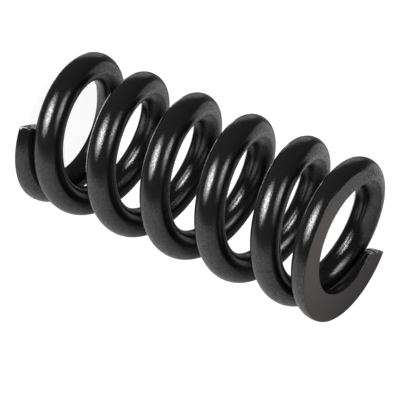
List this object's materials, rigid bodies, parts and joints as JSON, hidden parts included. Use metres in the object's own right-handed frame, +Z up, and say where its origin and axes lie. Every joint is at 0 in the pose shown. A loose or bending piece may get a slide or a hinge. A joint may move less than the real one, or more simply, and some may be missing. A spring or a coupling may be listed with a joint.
{
  "type": "coil spring",
  "caption": "Heavy right-hand compression coil spring of round steel wire with closed, ground-flat ends; shortens along its axis under load.",
  "frame": {"origin": "centre of the lower ground seat, on the coil axis", "axes": "+Z up the coil axis to the upper ground seat; the lower wire tip is cut in the plane through the axis and +X; the wire climbs by the right-hand rule about +Z"},
  "size_m": [0.0809, 0.0813, 0.17],
  "materials": {
    "coated_wire": "semi-gloss black powder coat with a fine grain; the two ground seats are flat and a shade browner and duller"
  },
  "bodies": {
    "lower_end_coil": {"lower_end_coil": "coated_wire"},
    "active_wire_01": {"active_wire_01": "coated_wire"},
    "active_wire_02": {"active_wire_02": "coated_wire"},
    "active_wire_03": {"active_wire_03": "coated_wire"},
    "active_wire_04": {"active_wire_04": "coated_wire"},
    "active_wire_05": {"active_wire_05": "coated_wire"},
    "active_wire_06": {"active_wire_06": "coated_wire"},
    "active_wire_07": {"active_wire_07": "coated_wire"},
    "active_wire_08": {"active_wire_08": "coated_wire"},
    "active_wire_09": {"active_wire_09": "coated_wire"},
    "active_wire_10": {"active_wire_10": "coated_wire"},
    "active_wire_11": {"active_wire_11": "coated_wire"},
    "active_wire_12": {"active_wire_12": "coated_wire"},
    "active_wire_13": {"active_wire_13": "coated_wire"},
    "active_wire_14": {"active_wire_14": "coated_wire"},
    "active_wire_15": {"active_wire_15": "coated_wire"},
    "active_wire_16": {"active_wire_16": "coated_wire"},
    "active_wire_17": {"active_wire_17": "coated_wire"},
    "active_wire_18": {"active_wire_18": "coated_wire"},
    "upper_end_coil": {"upper_end_coil": "coated_wire"}
  },
  "joints": [
    {"name": "compression", "type": "slide", "parent": "lower_end_coil", "child": "upper_end_coil", "axis": [0, 0, -1], "range_m": [0, 0.061], "stiffness_N_per_m": 232000},
    {"name": "flex_01", "type": "slide", "parent": "lower_end_coil", "child": "active_wire_01", "axis": [0, 0, -1], "range_m": [0, 0.0033], "stiffness_N_per_m": 18600},
    {"name": "flex_02", "type": "slide", "parent": "lower_end_coil", "child": "active_wire_02", "axis": [0, 0, -1], "range_m": [0, 0.0065], "stiffness_N_per_m": 18600},
    {"name": "flex_03", "type": "slide", "parent": "lower_end_coil", "child": "active_wire_03", "axis": [0, 0, -1], "range_m": [0, 0.0097], "stiffness_N_per_m": 18600},
    {"name": "flex_04", "type": "slide", "parent": "lower_end_coil", "child": "active_wire_04", "axis": [0, 0, -1], "range_m": [0, 0.0129], "stiffness_N_per_m": 18600},
    {"name": "flex_05", "type": "slide", "parent": "lower_end_coil", "child": "active_wire_05", "axis": [0, 0, -1], "range_m": [0, 0.0161], "stiffness_N_per_m": 18600},
    {"name": "flex_06", "type": "slide", "parent": "lower_end_coil", "child": "active_wire_06", "axis": [0, 0, -1], "range_m": [0, 0.0193], "stiffness_N_per_m": 18600},
    {"name": "flex_07", "type": "slide", "parent": "lower_end_coil", "child": "active_wire_07", "axis": [0, 0, -1], "range_m": [0, 0.0225], "stiffness_N_per_m": 18600},
    {"name": "flex_08", "type": "slide", "parent": "lower_end_coil", "child": "active_wire_08", "axis": [0, 0, -1], "range_m": [0, 0.0257], "stiffness_N_per_m": 18600},
    {"name": "flex_09", "type": "slide", "parent": "lower_end_coil", "child": "active_wire_09", "axis": [0, 0, -1], "range_m": [0, 0.0289], "stiffness_N_per_m": 18600},
    {"name": "flex_10", "type": "slide", "parent": "lower_end_coil", "child": "active_wire_10", "axis": [0, 0, -1], "range_m": [0, 0.0322], "stiffness_N_per_m": 18600},
    {"name": "flex_11", "type": "slide", "parent": "lower_end_coil", "child": "active_wire_11", "axis": [0, 0, -1], "range_m": [0, 0.0354], "stiffness_N_per_m": 18600},
    {"name": "flex_12", "type": "slide", "parent": "lower_end_coil", "child": "active_wire_12", "axis": [0, 0, -1], "range_m": [0, 0.0386], "stiffness_N_per_m": 18600},
    {"name": "flex_13", "type": "slide", "parent": "lower_end_coil", "child": "active_wire_13", "axis": [0, 0, -1], "range_m": [0, 0.0418], "stiffness_N_per_m": 18600},
    {"name": "flex_14", "type": "slide", "parent": "lower_end_coil", "child": "active_wire_14", "axis": [0, 0, -1], "range_m": [0, 0.045], "stiffness_N_per_m": 18600},
    {"name": "flex_15", "type": "slide", "parent": "lower_end_coil", "child": "active_wire_15", "axis": [0, 0, -1], "range_m": [0, 0.0482], "stiffness_N_per_m": 18600},
    {"name": "flex_16", "type": "slide", "parent": "lower_end_coil", "child": "active_wire_16", "axis": [0, 0, -1], "range_m": [0, 0.0514], "stiffness_N_per_m": 18600},
    {"name": "flex_17", "type": "slide", "parent": "lower_end_coil", "child": "active_wire_17", "axis": [0, 0, -1], "range_m": [0, 0.0546], "stiffness_N_per_m": 18600},
    {"name": "flex_18", "type": "slide", "parent": "lower_end_coil", "child": "active_wire_18", "axis": [0, 0, -1], "range_m": [0, 0.0578], "stiffness_N_per_m": 18600}
  ],
  "couplings": [
    {"joint": "flex_01", "follows": "compression", "ratio": 0.052632},
    {"joint": "flex_02", "follows": "compression", "ratio": 0.10526},
    {"joint": "flex_03", "follows": "compression", "ratio": 0.1579},
    {"joint": "flex_04", "follows": "compression", "ratio": 0.21053},
    {"joint": "flex_05", "follows": "compression", "ratio": 0.26316},
    {"joint": "flex_06", "follows": "compression", "ratio": 0.31579},
    {"joint": "flex_07", "follows": "compression", "ratio": 0.36842},
    {"joint": "flex_08", "follows": "compression", "ratio": 0.42105},
    {"joint": "flex_09", "follows": "compression", "ratio": 0.47368},
    {"joint": "flex_10", "follows": "compression", "ratio": 0.52632},
    {"joint": "flex_11", "follows": "compression", "ratio": 0.57895},
    {"joint": "flex_12", "follows": "compression", "ratio": 0.63158},
    {"joint": "flex_13", "follows": "compression", "ratio": 0.68421},
    {"joint": "flex_14", "follows": "compression", "ratio": 0.73684},
    {"joint": "flex_15", "follows": "compression", "ratio": 0.78947},
    {"joint": "flex_16", "follows": "compression", "ratio": 0.8421},
    {"joint": "flex_17", "follows": "compression", "ratio": 0.89474},
    {"joint": "flex_18", "follows": "compression", "ratio": 0.94737}
  ]
}
